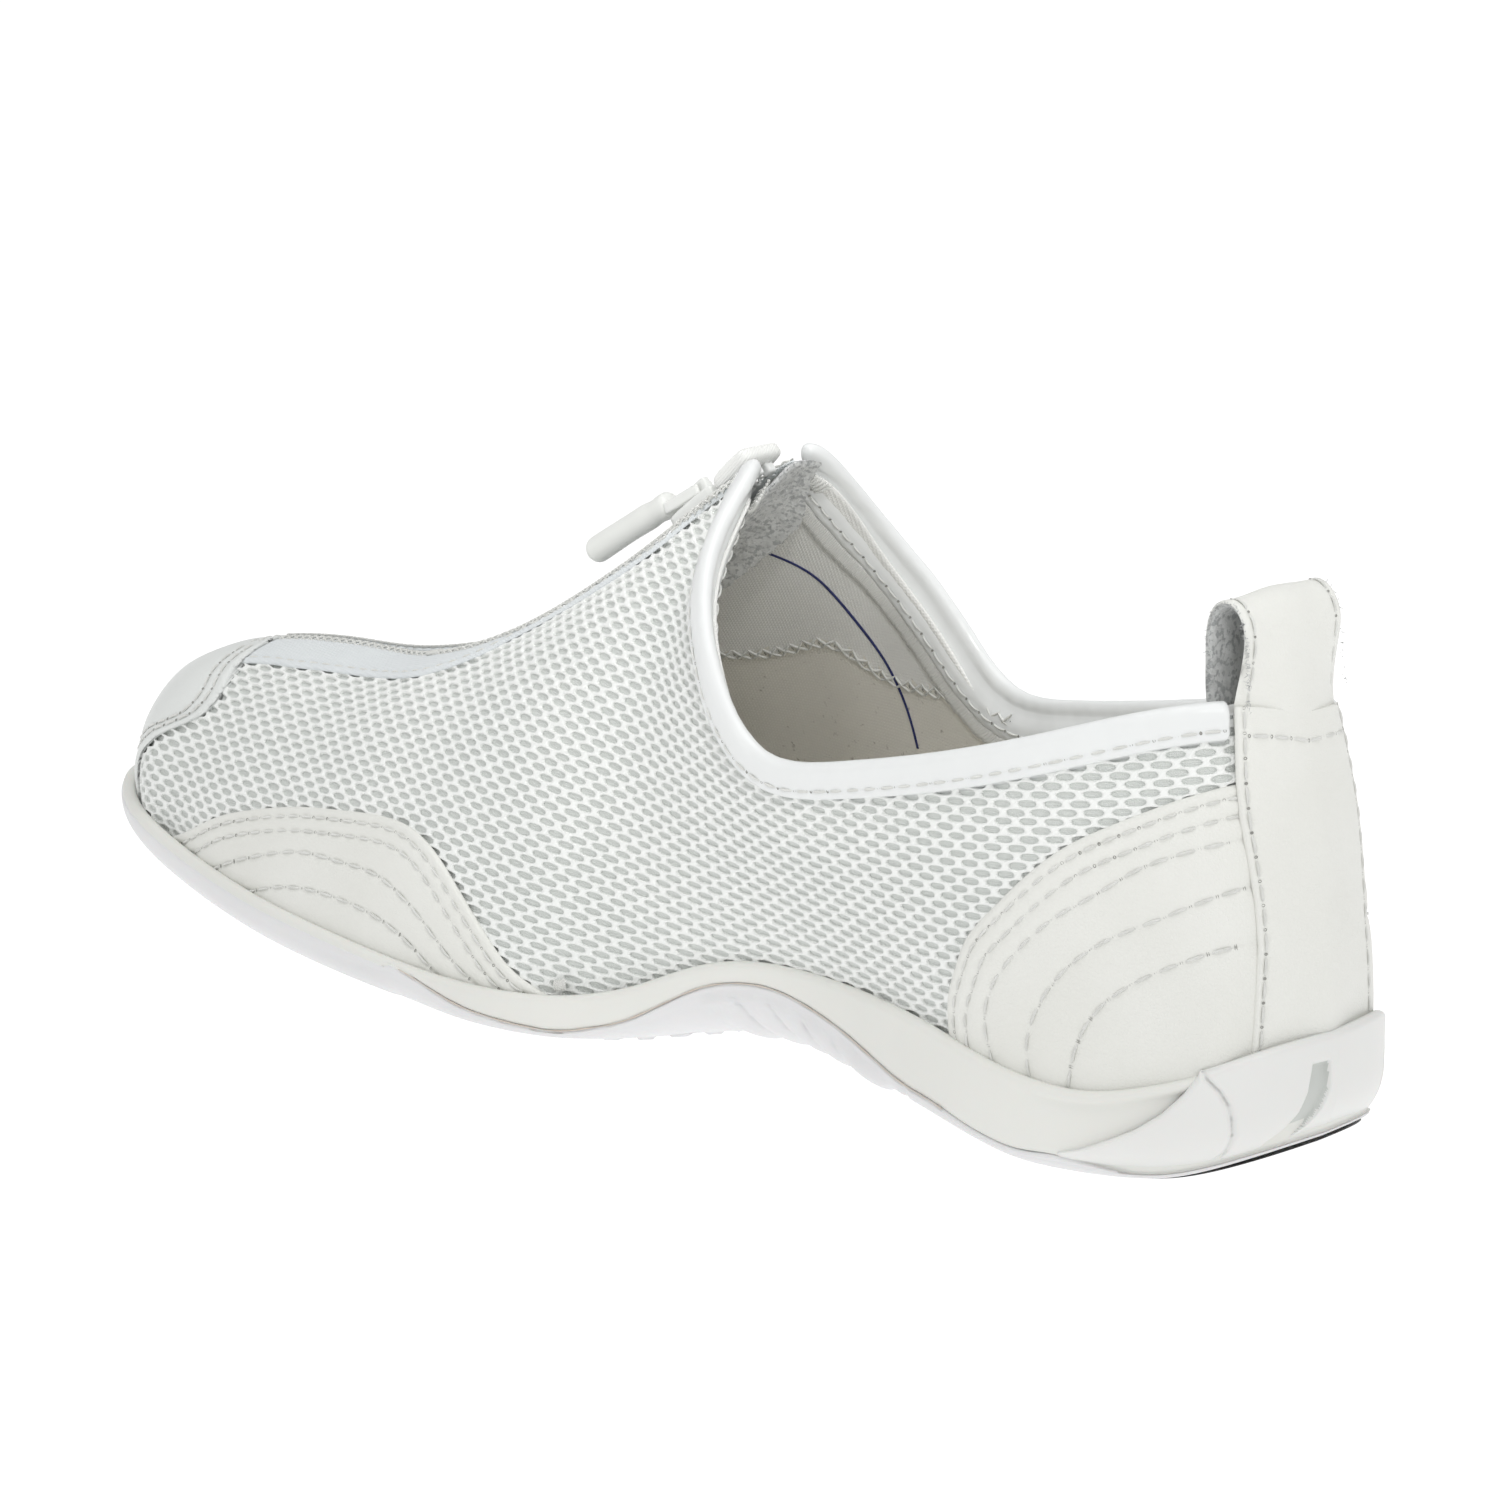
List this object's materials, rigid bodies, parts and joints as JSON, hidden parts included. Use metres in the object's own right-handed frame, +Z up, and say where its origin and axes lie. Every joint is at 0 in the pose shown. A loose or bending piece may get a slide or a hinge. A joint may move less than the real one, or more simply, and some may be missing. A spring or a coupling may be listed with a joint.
{
  "type": "cheerleading shoe",
  "caption": "Low slip-on training shoe for cheerleading with open-mesh upper, leather overlays, a zip over the instep, a rolled collar, a heel pull loop and a cupped rubber sole",
  "frame": {"origin": "On the ground under the middle of the shoe's bounding box", "axes": "+X from heel to toe (longest extent), +Y to the inner, medial side, +Z up"},
  "size_m": [0.2759, 0.09, 0.1007],
  "materials": {
    "outsole_rubber": "satin, moulded",
    "midsole_foam": "matte, fine moulded texture",
    "wrap_rubber": "satin, moulded",
    "leather": "smooth coated leather, fine grain",
    "toe_leather": "smooth coated leather",
    "mesh": "open-hole knitted mesh over a grey backing",
    "lining": "brushed woven lining",
    "foam": "open-cell foam",
    "board": "fibre board",
    "footbed_foam": "moulded foam",
    "footbed_cloth": "woven cover cloth",
    "stiffener": "pressed sheet",
    "shank_plate": "moulded nylon",
    "binding": "glossy coated binding",
    "webbing": "woven tape",
    "zip_coil": "moulded coil",
    "slider_paint": "enamel",
    "pull_rubber": "matte rubber",
    "suede": "split leather, rough side out"
  },
  "bodies": {
    "shoe": {"outsole": "outsole_rubber", "midsole": "midsole_foam", "heel_wrap": "wrap_rubber", "heel_tread_pads": "outsole_rubber", "forefoot_tread_pads": "outsole_rubber", "arch_ribs": "outsole_rubber", "shank": "shank_plate", "insole_board": "board", "heel_cushion": "footbed_foam", "footbed": "footbed_foam", "footbed_cover": "footbed_cloth", "heel_counter": "stiffener", "toe_puff": "stiffener", "toe_cap": "toe_leather", "back_stay": "leather", "pull_loop": "leather", "zip_bottom_stop": "zip_coil", "zip_top_stops": "zip_coil", "zip_garage": "leather", "zip_guard": "suede", "mesh_quarter_medial": "mesh", "lining_medial": "lining", "collar_foam_medial": "foam", "heel_overlay_medial": "leather", "forefoot_overlay_medial": "leather", "zip_band_medial": "webbing", "collar_binding_medial": "binding", "zip_chain_medial": "zip_coil", "zip_tape_medial": "webbing", "mesh_quarter_lateral": "mesh", "lining_lateral": "lining", "collar_foam_lateral": "foam", "heel_overlay_lateral": "leather", "forefoot_overlay_lateral": "leather", "zip_band_lateral": "webbing", "collar_binding_lateral": "binding", "zip_chain_lateral": "zip_coil", "zip_tape_lateral": "webbing"},
    "slider": {"zip_slider": "slider_paint"},
    "pull": {"pull_link": "slider_paint", "pull_grip": "pull_rubber"}
  },
  "joints": [
    {"name": "zip_travel", "type": "hinge", "parent": "shoe", "child": "slider", "pos_m": [0.12543, 0.00846, 0.254], "axis": [0, -1, 0], "range_deg": [0, 14]},
    {"name": "pull_flip", "type": "hinge", "parent": "slider", "child": "pull", "pos_m": [-0.00368, 0.00846, 0.09131], "axis": [0, -1, 0], "range_deg": [0, 140]}
  ]
}
